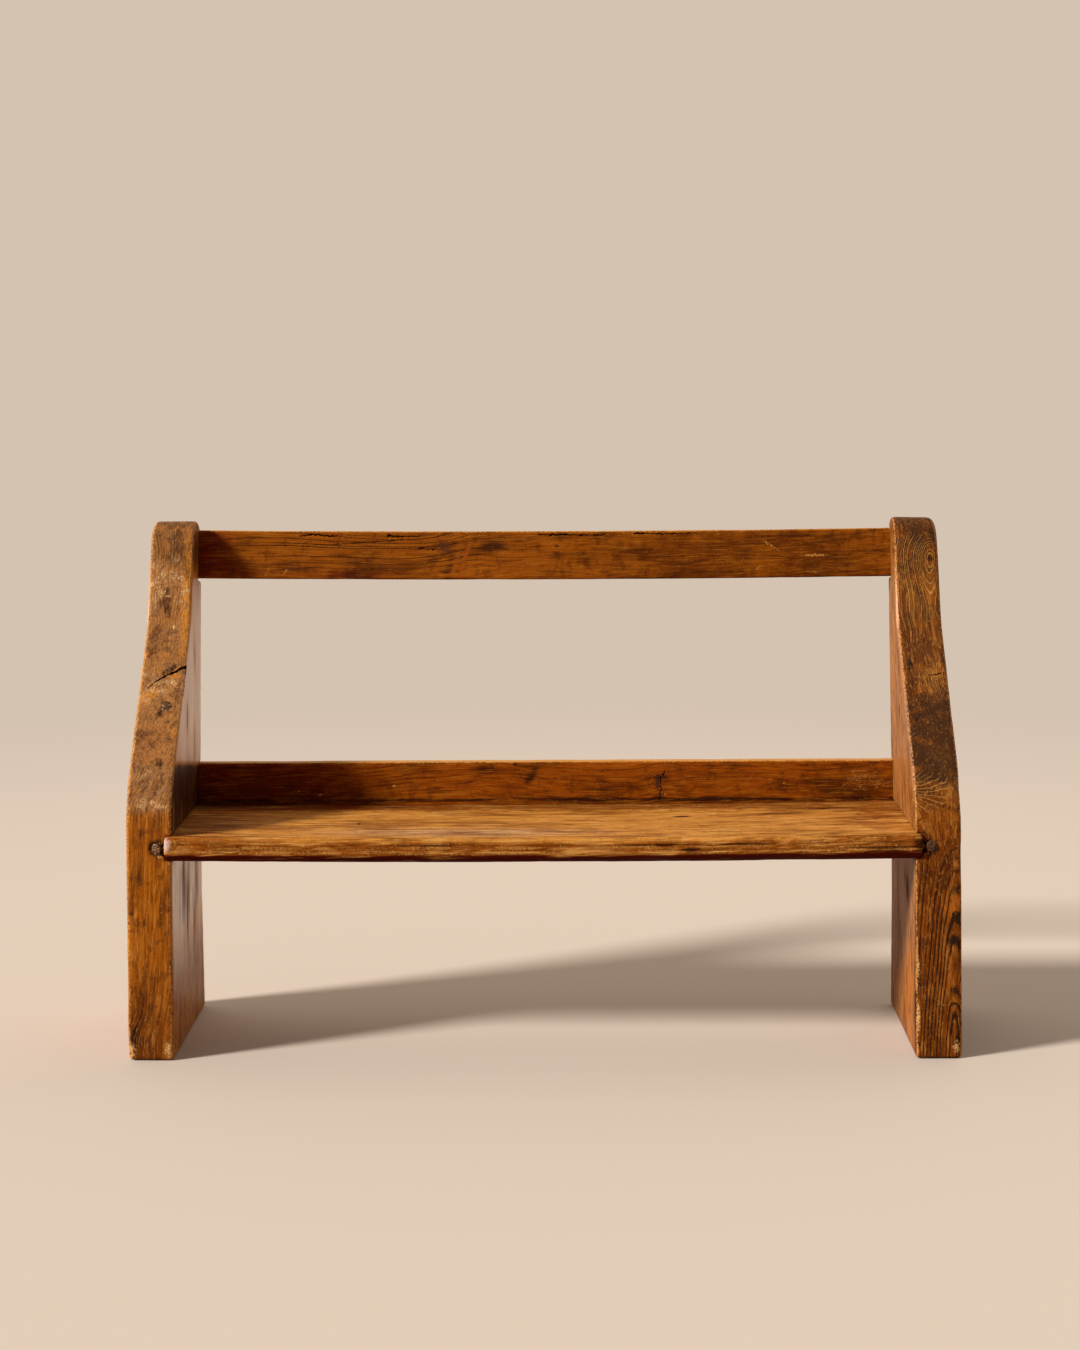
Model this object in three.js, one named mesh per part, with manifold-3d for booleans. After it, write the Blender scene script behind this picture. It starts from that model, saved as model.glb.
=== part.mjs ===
// Short church bench: two slab ends, a housed seat board and two back rails, nailed together.
// Millimetres, +Z up, front towards -Y, +X to the right as seen from the front.
// The pieces are laid out from the front plane of the ends, and the whole bench is then centred.
import * as THREE from 'three';
import { mergeVertices } from 'three/addons/utils/BufferGeometryUtils.js';
import Module from 'manifold-3d';

// Fit of one piece in another, and how far a cut runs out past the wood
const clearance = 0.3;
const overrun = 12;

// Whole bench
const benchWidth = 1450;
const benchHeight = 918;

// Slab ends
const endThickness = 80;
const footDepth = 376;
const waistDepth = 355;
const waistBottom = 220;
const waistTop = 470;
const shoulderHeight = 459;
const shoulderRadius = 170;
const hollowRadius = 200;
const knobRadius = 50;
const knobSetback = 339;
const neckReach = 94;
const neckDrop = 131.5;
const crookRadius = 260;
const footCornerRadius = 5;
const endEdgeRound = 4;

// Seat board
const seatTop = 392;
const seatThickness = 43;
const seatNoseProud = 9;
const seatHousing = 12.5;
const noseTopRadius = 6;
const noseUndercut = 10;
const noseArrisRadius = 2;

// Back rails
const railHousing = 40;
const railSetIn = 3;
const railEdgeRound = 2.5;
const lowerRailThickness = 26;
const lowerRailHeight = 116;
const topRailThickness = 33;
const topRailHeight = 90;
const topRailDrop = 22.3;

// Iron nails: seat nails at a slant through the ends' front edges, one across the crack in the left end
const seatNailBeside = 16.5;
const seatNailSlant = 25;
const seatNailLength = 100;
const seatNailHeadDiameter = 17;
const seatNailShankDiameter = 6;
const seatNailHeadThickness = 3.5;
const seatNailSink = 2.5;
const nailPocketWidth = 9;
const nailPocketHeight = 19;
const nailPocketDepth = 16;
const nailPocketDrop = 3;
const repairNailInset = 27;
const repairNailLength = 90;
const repairNailHeadDiameter = 20;
const repairNailShankDiameter = 7;
const repairNailHeadThickness = 4;
const repairNailSink = 3;

// Iron nails driven from behind
const railNailLength = 68;
const railNailHeadDiameter = 12;
const railNailShankDiameter = 4.5;
const railNailHeadThickness = 2.5;
const railNailSink = 2.5;
const railNailSpacing = 50;
const railNailInset = 20;
const seatBackNailCount = 4;
const seatBackNailInset = 135;

// Corners of each nail's head and of its point, and the repair nail's place up the slope, as shares
const headCrownShare = 0.55;
const pointLengthShare = 2.2;
const repairNailUpSlopeShare = 0.518;
const roundSides = 14;
const endArcSteps = 6;
const boardArcSteps = 2;
const bevelSteps = 2;

const halfWidth = benchWidth / 2;
const innerHalf = halfWidth - endThickness;
const knobCentre = new THREE.Vector2(knobSetback, benchHeight - knobRadius);

const across = new THREE.Vector3(1, 0, 0);
const back = new THREE.Vector3(0, 1, 0);
const up = new THREE.Vector3(0, 0, 1);

const pine = new THREE.MeshStandardMaterial({ color: 0x8a5222, roughness: 0.55, metalness: 0 });
const wornPine = new THREE.MeshStandardMaterial({ color: 0xa9713a, roughness: 0.5, metalness: 0 });
const redPine = new THREE.MeshStandardMaterial({ color: 0x7c4415, roughness: 0.5, metalness: 0 });
const iron = new THREE.MeshStandardMaterial({ color: 0x3b3129, roughness: 0.7, metalness: 0.8 });

const wasm = await Module();
wasm.setup();

// Booleans on closed geometries

function toSolid(geometry) {
  const bare = geometry.clone();
  bare.deleteAttribute('normal');
  bare.deleteAttribute('uv');
  const merged = mergeVertices(bare);
  return new wasm.Manifold(new wasm.Mesh({
    numProp: 3,
    vertProperties: new Float32Array(merged.attributes.position.array),
    triVerts: new Uint32Array(merged.index.array),
  }));
}

function toGeometry(solid) {
  const mesh = solid.getMesh();
  const geometry = new THREE.BufferGeometry();
  geometry.setAttribute('position', new THREE.BufferAttribute(new Float32Array(mesh.vertProperties), 3));
  geometry.setIndex(new THREE.BufferAttribute(new Uint32Array(mesh.triVerts), 1));
  geometry.computeVertexNormals();
  return geometry;
}

function cutAway(geometry, cutters) {
  let solid = toSolid(geometry);
  for (const cutter of cutters) solid = solid.subtract(toSolid(cutter));
  return toGeometry(solid);
}

// Outlines are drawn in the side view: x is the depth from the front plane, y is the height

// Runs a straight edge up to a corner and rounds the corner towards the next point.
function roundCorner(path, corner, next, radius) {
  const incoming = corner.clone().sub(path.currentPoint).normalize();
  const outgoing = next.clone().sub(corner).normalize();
  const side = Math.sign(incoming.cross(outgoing));
  const turn = Math.acos(incoming.dot(outgoing));
  const start = corner.clone().addScaledVector(incoming, -radius * Math.tan(turn / 2));
  const toCentre = new THREE.Vector2(-incoming.y, incoming.x).multiplyScalar(side);
  const centre = start.clone().addScaledVector(toCentre, radius);
  const startAngle = Math.atan2(-toCentre.y, -toCentre.x);
  path.lineTo(start.x, start.y);
  path.absarc(centre.x, centre.y, radius, startAngle, startAngle + side * turn, side < 0);
}

// Extrudes a side-view outline along X between two places.
function extrudeAcross(outline, fromX, toX, edgeRound = 0, arcSteps = boardArcSteps) {
  const geometry = new THREE.ExtrudeGeometry(outline, {
    depth: toX - fromX - 2 * edgeRound,
    bevelEnabled: edgeRound > 0,
    bevelThickness: edgeRound,
    bevelSize: edgeRound,
    bevelOffset: -edgeRound,
    bevelSegments: bevelSteps,
    curveSegments: arcSteps,
  });
  geometry.translate(0, 0, fromX + edgeRound);
  return geometry.applyMatrix4(new THREE.Matrix4().makeBasis(back, up, across));
}

// Box between two corners.
function boxBetween(low, high) {
  const size = high.clone().sub(low);
  const centre = low.clone().add(high).multiplyScalar(0.5);
  return new THREE.BoxGeometry(size.x, size.y, size.z).translate(centre.x, centre.y, centre.z);
}

// The ends' outline

const waistLow = new THREE.Vector2(waistDepth, waistBottom);
const waistHigh = new THREE.Vector2(waistDepth, waistTop);
const waistToKnob = knobCentre.clone().sub(waistHigh);
const backRake = Math.asin(knobRadius / waistToKnob.length()) + Math.atan2(waistToKnob.x, waistToKnob.y);

// The slope runs from the shoulder's corner to the hollow's, and the neck from there to the knob's front.
const shoulderCorner = new THREE.Vector2(0, shoulderHeight);
const hollowCorner = new THREE.Vector2(knobCentre.x - neckReach, knobCentre.y - neckDrop);
const slopeRun = hollowCorner.clone().sub(shoulderCorner);
const slope = Math.atan2(slopeRun.x, slopeRun.y);
const neckLean = Math.atan2(neckReach, neckDrop) - Math.asin(knobRadius / Math.hypot(neckReach, neckDrop));
const knobFront = knobCentre.clone().add(
  new THREE.Vector2(-Math.cos(neckLean), Math.sin(neckLean)).multiplyScalar(knobRadius));

function endOutline() {
  const outline = new THREE.Shape();
  const heel = new THREE.Vector2(footDepth, 0);
  const toe = new THREE.Vector2(0, 0);
  outline.moveTo(footDepth / 2, 0);
  roundCorner(outline, toe, shoulderCorner, footCornerRadius);
  roundCorner(outline, shoulderCorner, hollowCorner, shoulderRadius);
  roundCorner(outline, hollowCorner, knobFront, hollowRadius);
  outline.lineTo(knobFront.x, knobFront.y);
  outline.absarc(knobCentre.x, knobCentre.y, knobRadius, Math.PI - neckLean, -backRake, true);
  roundCorner(outline, waistHigh, waistLow, crookRadius);
  roundCorner(outline, waistLow, heel, crookRadius);
  roundCorner(outline, heel, toe, footCornerRadius);
  outline.closePath();
  return outline;
}

// Seat board

const seatBack = waistDepth - railSetIn - lowerRailThickness - clearance;

// Section of the seat board, grown by a margin for the housings that take it.
function seatOutline(margin) {
  const front = -seatNoseProud - margin;
  const top = seatTop + margin;
  const bottom = seatTop - seatThickness - margin;
  const rear = seatBack + margin;
  const corners = [
    [rear, bottom, 0],
    [front + noseUndercut, bottom, noseArrisRadius],
    [front, bottom + noseUndercut, noseArrisRadius],
    [front, top, noseTopRadius],
    [rear, top, 0],
  ];
  const outline = new THREE.Shape();
  outline.moveTo(corners[0][0], corners[0][1]);
  corners.slice(1, -1).forEach(([depth, height, radius], i) => {
    const [nextDepth, nextHeight] = corners[i + 2];
    roundCorner(outline, new THREE.Vector2(depth, height), new THREE.Vector2(nextDepth, nextHeight), radius);
  });
  outline.lineTo(corners.at(-1)[0], corners.at(-1)[1]);
  outline.closePath();
  return outline;
}

// Back rails: each section is drawn upright behind its front bottom edge, and the top one leans back

const lowerRailPlace = {
  depth: waistDepth - railSetIn - lowerRailThickness,
  height: seatTop - seatThickness,
  rake: 0,
  thickness: lowerRailThickness,
  tall: lowerRailHeight,
};
const topRailBottom = benchHeight - topRailDrop - topRailHeight * Math.cos(backRake);
const rakeLineAtTopRail = waistDepth + (topRailBottom - waistTop) * Math.tan(backRake);
const topRailPlace = {
  depth: rakeLineAtTopRail - (railSetIn + topRailThickness) / Math.cos(backRake),
  height: topRailBottom,
  rake: backRake,
  thickness: topRailThickness,
  tall: topRailHeight,
};

function railOutline(place, margin, rearMargin, radius) {
  const front = -margin;
  const rear = place.thickness + rearMargin;
  const bottom = -margin;
  const top = place.tall + margin;
  const corners = [
    new THREE.Vector2(front, bottom),
    new THREE.Vector2(front, top),
    new THREE.Vector2(rear, top),
    new THREE.Vector2(rear, bottom),
  ];
  const outline = new THREE.Shape();
  outline.moveTo((front + rear) / 2, bottom);
  corners.forEach((corner, i) => roundCorner(outline, corner, corners[(i + 1) % corners.length], radius));
  outline.closePath();
  return outline;
}

// Puts geometry drawn about a rail's front bottom edge in its place on the bench.
function setOnRail(geometry, place) {
  return geometry.rotateX(-place.rake).translate(0, place.depth, place.height);
}

function railSolid(place) {
  const length = innerHalf + railHousing - clearance;
  return setOnRail(extrudeAcross(railOutline(place, 0, 0, railEdgeRound), -length, length), place);
}

function railNotch(place, fromX, toX) {
  return setOnRail(extrudeAcross(railOutline(place, clearance, overrun, clearance), fromX, toX), place);
}

// Nails: lathe profiles along +Y from the crown of the head to the point

function nailProfile(nail, margin) {
  const head = nail.headDiameter / 2 + margin;
  const shank = nail.shankDiameter / 2 + margin;
  const under = nail.headThickness + margin;
  const tip = nail.length + margin;
  const crownRadius = nail.headDiameter / 2 * headCrownShare + margin;
  const pointStart = tip - nail.shankDiameter * pointLengthShare;
  return [
    [0, -margin],
    [crownRadius, -margin],
    [head, nail.headThickness * headCrownShare],
    [head, under],
    [shank, under],
    [shank, pointStart],
    [0, tip],
  ].map(([radius, along]) => new THREE.Vector2(radius, along));
}

// Clears the way for a nail, from outside the wood down to its point.
function nailBoreProfile(nail) {
  const profile = nailProfile(nail, clearance);
  const mouth = profile[2].x;
  return [new THREE.Vector2(0, -overrun), new THREE.Vector2(mouth, -overrun), ...profile.slice(2)];
}

// Turns a lathe profile along its nail's direction, with the crown standing proud by what isn't sunk.
function latheAlong(profile, nail) {
  const geometry = new THREE.LatheGeometry(profile, roundSides);
  const turn = new THREE.Quaternion().setFromUnitVectors(back, nail.direction);
  const crown = nail.surface.clone().addScaledVector(nail.direction, nail.sink - nail.headThickness);
  return geometry.applyQuaternion(turn).translate(crown.x, crown.y, crown.z);
}

function nailSolid(nail) {
  return toGeometry(outward(latheAlong(nailProfile(nail, 0), nail)));
}

function nailBore(nail) {
  return toGeometry(outward(latheAlong(nailBoreProfile(nail), nail)));
}

// A closed solid with its faces out, whichever way the lathe wound them.
function outward(geometry) {
  const solid = toSolid(geometry);
  if (solid.volume() > 0) return solid;
  const flipped = geometry.clone();
  const index = flipped.index.array;
  for (let i = 0; i < index.length; i += 3) {
    [index[i], index[i + 1]] = [index[i + 1], index[i]];
  }
  return toSolid(flipped);
}

const seatMiddle = seatTop - seatThickness / 2;

function seatNail(side) {
  const slant = THREE.MathUtils.degToRad(seatNailSlant);
  return {
    surface: new THREE.Vector3(side * (innerHalf + seatHousing + seatNailBeside), 0, seatMiddle),
    direction: new THREE.Vector3(-side * Math.sin(slant), Math.cos(slant), 0),
    length: seatNailLength,
    headDiameter: seatNailHeadDiameter,
    shankDiameter: seatNailShankDiameter,
    headThickness: seatNailHeadThickness,
    sink: seatNailSink,
  };
}

function repairNail() {
  const onSlope = shoulderCorner.clone().addScaledVector(slopeRun, repairNailUpSlopeShare);
  return {
    surface: new THREE.Vector3(-innerHalf - repairNailInset, onSlope.x, onSlope.y),
    direction: new THREE.Vector3(0, Math.cos(slope), -Math.sin(slope)),
    length: repairNailLength,
    headDiameter: repairNailHeadDiameter,
    shankDiameter: repairNailShankDiameter,
    headThickness: repairNailHeadThickness,
    sink: repairNailSink,
  };
}

// A nail driven square into a rail's rear face, at a height measured up the rail.
function nailBehind(place, x, heightOnRail) {
  const surface = setOnRail(new THREE.BufferGeometry().setFromPoints(
    [new THREE.Vector3(x, place.thickness, heightOnRail)]), place).attributes.position;
  return {
    surface: new THREE.Vector3().fromBufferAttribute(surface, 0),
    direction: new THREE.Vector3(0, -Math.cos(place.rake), Math.sin(place.rake)),
    length: railNailLength,
    headDiameter: railNailHeadDiameter,
    shankDiameter: railNailShankDiameter,
    headThickness: railNailHeadThickness,
    sink: railNailSink,
  };
}

// All nails by name, with the pieces that each one passes through.
const nails = {};
const sides = { left: -1, right: 1 };
for (const [name, side] of Object.entries(sides)) {
  nails[`seat_nail_${name}`] = { nail: seatNail(side), through: [`${name}_end`, 'seat_board'] };
  for (const [rail, place] of [['lower', lowerRailPlace], ['top', topRailPlace]]) {
    for (const [row, offset] of [['low', -railNailSpacing / 2], ['high', railNailSpacing / 2]]) {
      nails[`${rail}_rail_nail_${name}_${row}`] = {
        nail: nailBehind(place, side * (innerHalf + railNailInset), place.tall / 2 + offset),
        through: [`${name}_end`, `${rail}_back_rail`],
      };
    }
  }
}
nails.repair_nail_left = { nail: repairNail(), through: ['left_end'] };
for (let i = 0; i < seatBackNailCount; i += 1) {
  const x = (innerHalf - seatBackNailInset) * (2 * i / (seatBackNailCount - 1) - 1);
  nails[`seat_back_nail_${i + 1}`] = {
    nail: nailBehind(lowerRailPlace, x, seatMiddle - lowerRailPlace.height),
    through: ['lower_back_rail', 'seat_board'],
  };
}

function boresIn(piece) {
  const passing = Object.values(nails).filter(({ through }) => through.includes(piece));
  return passing.map(({ nail }) => nailBore(nail));
}

// Wood chipped out of the front edge beside the seat's end, where the seat nail was driven.
function nailPocket(side) {
  const inner = innerHalf + seatHousing - overrun;
  const outer = innerHalf + seatHousing + nailPocketWidth;
  const xs = [side * inner, side * outer].sort((a, b) => a - b);
  const middle = seatMiddle - nailPocketDrop;
  return boxBetween(
    new THREE.Vector3(xs[0], -overrun, middle - nailPocketHeight / 2),
    new THREE.Vector3(xs[1], nailPocketDepth, middle + nailPocketHeight / 2));
}

function endGeometry(name, side) {
  const xs = [side * innerHalf, side * halfWidth].sort((a, b) => a - b);
  const slab = extrudeAcross(endOutline(), xs[0], xs[1], endEdgeRound, endArcSteps);
  const reach = (depth) => [side * (innerHalf - overrun), side * (innerHalf + depth)].sort((a, b) => a - b);
  const seatCut = extrudeAcross(seatOutline(clearance), ...reach(seatHousing));
  const notches = [lowerRailPlace, topRailPlace].map((place) => railNotch(place, ...reach(railHousing)));
  return cutAway(slab, [seatCut, ...notches, nailPocket(side), ...boresIn(`${name}_end`)]);
}

function seatGeometry() {
  const length = innerHalf + seatHousing - clearance;
  return cutAway(extrudeAcross(seatOutline(0), -length, length), boresIn('seat_board'));
}

// Assembly

const bench = new THREE.Group();

function addPiece(name, geometry, material) {
  const mesh = new THREE.Mesh(geometry, material.clone());
  mesh.name = name;
  bench.add(mesh);
}

for (const [name, side] of Object.entries(sides)) addPiece(`${name}_end`, endGeometry(name, side), pine);
addPiece('seat_board', seatGeometry(), wornPine);
addPiece('lower_back_rail', cutAway(railSolid(lowerRailPlace), boresIn('lower_back_rail')), redPine);
addPiece('top_back_rail', cutAway(railSolid(topRailPlace), boresIn('top_back_rail')), redPine);
for (const [name, { nail }] of Object.entries(nails)) addPiece(name, nailSolid(nail), iron);

const benchDepth = seatNoseProud + knobSetback + knobRadius;
bench.position.y = seatNoseProud - benchDepth / 2;

export default bench;
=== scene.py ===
import math

import bmesh
import bpy
import numpy as np
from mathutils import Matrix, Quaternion, Vector
from mathutils.kdtree import KDTree


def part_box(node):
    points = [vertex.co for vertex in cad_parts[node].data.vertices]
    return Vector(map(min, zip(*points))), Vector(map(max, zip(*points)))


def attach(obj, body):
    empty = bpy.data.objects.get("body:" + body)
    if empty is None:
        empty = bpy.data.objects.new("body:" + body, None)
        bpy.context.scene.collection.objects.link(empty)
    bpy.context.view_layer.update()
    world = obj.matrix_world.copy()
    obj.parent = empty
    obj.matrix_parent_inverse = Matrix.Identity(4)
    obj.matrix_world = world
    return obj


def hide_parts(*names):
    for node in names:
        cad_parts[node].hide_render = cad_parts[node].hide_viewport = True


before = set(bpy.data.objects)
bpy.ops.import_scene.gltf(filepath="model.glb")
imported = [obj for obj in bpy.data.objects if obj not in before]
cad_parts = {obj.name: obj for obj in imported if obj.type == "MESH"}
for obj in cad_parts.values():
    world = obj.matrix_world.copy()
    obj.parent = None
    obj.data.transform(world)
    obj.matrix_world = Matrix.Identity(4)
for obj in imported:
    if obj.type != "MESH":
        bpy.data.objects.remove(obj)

for name in ("Cube", "Light", "Camera"):  # Blender's own start-up objects, which would widen the box
    stray = bpy.data.objects.get(name)
    if stray:
        bpy.data.objects.remove(stray)
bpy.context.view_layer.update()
print("frame loaded:", len(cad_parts), "nodes")


# Small tools. Sizes are in metres, but the patches and the cracks' lines are placed in millimetres.

smooth = {"interpolation_type": "SMOOTHSTEP"}  # settings that many nodes share
multiply, multiplyAdd = {"operation": "MULTIPLY"}, {"operation": "MULTIPLY_ADD"}
weldDistance = 0.00002  # points nearer than this become one
halfInside = -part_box("left_end")[1].x  # from the bench's middle to an end's inner face


def linear(hexColour):
    # sRGB hex to the linear colour that the shader takes
    shares = [int(hexColour[i:i + 2], 16) / 255 for i in (1, 3, 5)]
    return [c / 12.92 if c <= 0.04045 else ((c + 0.055) / 1.055) ** 2.4 for c in shares] + [1.0]


def addNode(tree, kind, settings=None):
    # adds a node and gives its outputs. A setting is a property, or an input's value or the socket
    # that feeds it; stops fill a colour ramp.
    node = tree.nodes.new("ShaderNode" + kind)
    for key, value in (settings or {}).items():
        if key == "stops":
            ramp = node.color_ramp.elements
            while len(ramp) < len(value):
                ramp.new(1.0)
            for element, (position, colour) in zip(ramp, value):
                element.position = position
                element.color = colour
        elif isinstance(value, bpy.types.NodeSocket):
            tree.links.new(value, node.inputs[key])
        elif isinstance(key, str) and hasattr(node, key):
            setattr(node, key, value)
        else:
            node.inputs[key].default_value = value
    return node.outputs


def newMaterial(name):
    material = bpy.data.materials.new(name)
    material.use_nodes = True
    material.node_tree.nodes.clear()
    return material, material.node_tree


def newMesh(name, bm):
    mesh = bpy.data.meshes.new(name)
    bm.to_mesh(mesh)
    bm.free()
    return mesh


def addObject(name, data):
    added = bpy.data.objects.new(name, data)
    bpy.context.scene.collection.objects.link(added)
    return added


def addPiece(name, mesh, material, node):
    for polygon in mesh.polygons:
        polygon.use_smooth = True
    mesh.materials.clear()
    mesh.materials.append(material)
    piece = addObject(name, mesh)
    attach(piece, "root")
    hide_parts(node)


def standAlong(bm, verts, axis, place):
    # what was made along Z is turned to axis and brought to its place
    turn = Vector((0, 0, 1)).rotation_difference(Vector(axis)).to_matrix().to_4x4()
    bmesh.ops.transform(bm, matrix=turn, verts=verts)
    bmesh.ops.translate(bm, vec=Vector(place), verts=verts)


def drift(points, size, seed, waves=9):
    # smooth random field, about -1.5 to 1.5, whose lumps are about half of size across
    random = np.random.default_rng(seed)
    total = np.zeros(len(points))
    for _ in range(waves):
        direction = random.normal(size=3)
        direction *= 2 * math.pi / size * random.uniform(0.6, 1.6) / np.linalg.norm(direction)
        total += np.sin(points @ direction + random.uniform(0, 2 * math.pi))
    return total / math.sqrt(waves)


def smoothStep(low, high, values):
    t = np.clip((values - low) / (high - low), 0, 1)
    return t * t * (3 - 2 * t)


def lumps(points, spots):
    # sum of soft round patches: each spot is a centre, its reach along X, Y and Z, and an amount
    total = np.zeros(len(points))
    for *spot, amount in spots:
        centre, reach = np.array(spot).reshape(2, 3) / 1000
        total += amount * np.exp(-(((points - centre) / reach) ** 2).sum(axis=1))
    return total


def stroke(start, end, reach, amount, count=6):
    # patches in a row, which run together into a streak as strong as one patch of amount
    places = np.linspace(start, end, count)
    return [(*place, *reach, amount / 1.6) for place in places]


def inPlane(axis, place, reach, *rows):
    # patches that share one coordinate and the reach along it: each row has the other two coordinates,
    # the reach along each of them, and an amount
    index, spots = "XYZ".index(axis), []
    for *others, amount in rows:
        centre, size = others[:2], others[2:]
        centre.insert(index, place)
        size.insert(index, reach)
        spots.append((*centre, *size, amount))
    return spots


def readArrays(mesh):
    count = len(mesh.vertices)
    points, normals = np.empty(count * 3), np.empty(count * 3)
    mesh.vertices.foreach_get("co", points)
    mesh.vertex_normals.foreach_get("vector", normals)
    return points.reshape(-1, 3), normals.reshape(-1, 3)


# Boards: a copy of the solid, remeshed fine enough to be worn, split and bent like old wood

upright, lengthways = 2, 0  # the axis that the grain follows
everywhere = (0, 0, 0, 9000, 9000, 9000)  # centre and reach of a patch that covers a whole board

# painted by place: how strongly the rings and the fine pale lines show, then what tints the wood: bare pale
# wood, dirt and in places painted shade, grime, greyed wood and painted sheen, golden wood, polish and painted
# reflection, a red tone and painted shadow, painted shade, and painted highlights
patches = ("figure", "comb", "pale", "dark", "dull", "grey", "gold", "silver", "red", "stain", "shine")
commonBoard = {  # what all the boards share, before each one's own values
    "grain": lengthways, "voxel": 0.004,
    **{key: [] for key in ("housed", "cracks", "dents", "knotBulges", "fans", "wornCorners") + patches},
    # nail bores are plugged from under the head to past the point, as wide as this share of the head
    "plugShare": 0.62, "plugExtra": 0.002, "plugSetIn": 0.0065,
    # an arris is sharper than this angle in degrees; it is followed in steps, and faces near it are split
    "arrisAngle": 34, "arrisStep": 0.004, "arrisMargin": 0.003, "arrisFine": 0.004,
    # round of the arrises, how much and over what length it wanders, and chips where a field passes limits
    "edgeRadius": 0.004, "softening": 0.002, "softeningLength": 0.12,
    "chipSize": 0.004, "chipLength": 0.035, "chipLimits": (1.0, 1.7), "wornOverlap": 1.02,
    # pale wear reaches this far from an arris, and is strongest where this much wood has gone
    "wearReach": 0.008, "wearDepth": 0.003, "wearOfDepth": 0.5,
    # long and short ripples of the planed faces, which leave the joints alone
    "ripple": 0.0007, "rippleLength": 0.16, "shortRipple": 0.35, "shortRippleLength": 0.05, "jointCalm": 0.03,
    # cracks: splitting of faces beside them, raggedness, change of width, and how far back they reach
    "crackFine": 0.004, "crackFineDepth": 0.012, "crackRagged": 0.0008, "crackRaggedLength": 0.010,
    "crackSwell": 0.35, "crackSwellLength": 0.014, "crackThinnest": 0.0002, "crackReach": 0.010,
    "crackFacing": 0.2, "crackShade": (0.3, 1.3),
    "sag": 0, "rise": (0, 0),  # drop at the middle, and lift at each end
    # the pith's bends are rounded over a length, and it and the rings wander; lines of a fan start apart
    "pithRounding": 0.04, "wander": 0.006, "wanderLength": 0.55,
    "waviness": 0.003, "wavinessLength": 0.05, "wavinessStretch": 0.22, "fanStart": 0.003, "fanShare": 1.6,
    "nailStain": 1.1, "nailStainReach": 1.25,  # iron blackens the wood round a head, in head radii
    "figure": [(*everywhere, 1.0)],
}
commonEnd = {**commonBoard, "slot": "end_pine", "grain": upright,
             "housed": ["seat_board", "lower_back_rail", "top_back_rail"]}
commonRail = {**commonBoard, "slot": "rail_pine", "voxel": 0.0032, "edgeRadius": 0.0025, "ripple": 0.0003,
              "waviness": 0.002}


def nailAxis(name):
    # crown, direction, length and head radius of a nail, measured on its solid
    points, _ = readArrays(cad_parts[name].data)
    middle = points.mean(axis=0)
    axis = np.linalg.svd(points - middle, full_matrices=False)[2][0]
    along = (points - middle) @ axis
    away = np.linalg.norm(points - middle - np.outer(along, axis), axis=1)
    if along[away.argmax()] > 0:
        axis, along = -axis, -along
    start = middle + axis * along.min()
    return start, axis, np.ptp(along), away.max()


nailLines = {name: nailAxis(name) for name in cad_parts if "nail" in name}


def solidCopy(name):
    bm = bmesh.new()
    bm.from_mesh(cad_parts[name].data)
    bmesh.ops.remove_doubles(bm, verts=bm.verts, dist=weldDistance)
    return bm


def fillBores(bm, board):
    # so that no tunnel is left round the nails inside the wood
    for name in board["nails"]:
        start, axis, length, headRadius = nailLines[name]
        radius = headRadius * board["plugShare"]
        plug = bmesh.ops.create_cone(
            bm, cap_ends=True, segments=16, radius1=radius, radius2=radius, depth=length + board["plugExtra"])
        standAlong(bm, plug["verts"], axis, start + axis * (length / 2 + board["plugSetIn"]))


def arrisLine(bm, board):
    # points every few millimetres along the sharp outer edges, with the mean normal there
    keepOut = [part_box(other) for other in board["housed"] + board["nails"]]
    sharp, margin = math.radians(board["arrisAngle"]), board["arrisMargin"]
    places, normals = [], []
    for edge in bm.edges:
        if len(edge.link_faces) != 2 or not edge.is_convex or edge.calc_face_angle() < sharp:
            continue
        a, b = (v.co for v in edge.verts)
        middle = (a + b) / 2
        if any(all(low[i] - margin < middle[i] < high[i] + margin for i in range(3)) for low, high in keepOut):
            continue
        normal = (edge.link_faces[0].normal + edge.link_faces[1].normal).normalized()
        steps = max(1, round((b - a).length / board["arrisStep"]))
        for step in range(steps + 1):
            places.append(a.lerp(b, step / steps))
            normals.append(normal)
    tree = KDTree(len(places))
    for i, place in enumerate(places):
        tree.insert(place, i)
    tree.balance()
    return tree, np.array(places), np.array(normals)


def fineMesh(bm, voxel):
    mesh = newMesh("fine", bm)
    holder = addObject("fine", mesh)
    remesh = holder.modifiers.new("remesh", "REMESH")
    remesh.mode = "VOXEL"
    remesh.voxel_size = voxel
    graph = bpy.context.evaluated_depsgraph_get()
    result = bpy.data.meshes.new_from_object(holder.evaluated_get(graph))
    bpy.data.objects.remove(holder)
    bpy.data.meshes.remove(mesh)
    return result


def awayFromLine(points, line):
    # distance in the front view to a crack's line, how far along the line the nearest place is,
    # and how far in front of or behind the line the point is
    best, share, depth = np.full(len(points), np.inf), np.zeros(len(points)), np.zeros(len(points))
    line = np.array(line) / 1000
    for i, (a, b) in enumerate(zip(line, line[1:])):
        run = (b - a)[[0, 2]]
        t = np.clip((points - a)[:, [0, 2]] @ run / (run @ run), 0, 1)
        gap = points - a - np.outer(t, b - a)
        away = np.hypot(gap[:, 0], gap[:, 2])
        nearer = away < best
        best = np.where(nearer, away, best)
        share = np.where(nearer, (i + t) / (len(line) - 1), share)
        depth = np.where(nearer, np.abs(gap[:, 1]), depth)
    return best, share, depth


def refineNear(mesh, near):
    # splits the faces where near says so, so that they can follow a tight round or a crack
    bm = bmesh.new()
    bm.from_mesh(mesh)
    close = near(np.array([v.co for v in bm.verts]))
    edges = [e for e in bm.edges if close[e.verts[0].index] and close[e.verts[1].index]]
    bmesh.ops.subdivide_edges(bm, edges=edges, cuts=1, use_grid_fill=True)
    bm.to_mesh(mesh)
    bm.free()


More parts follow.
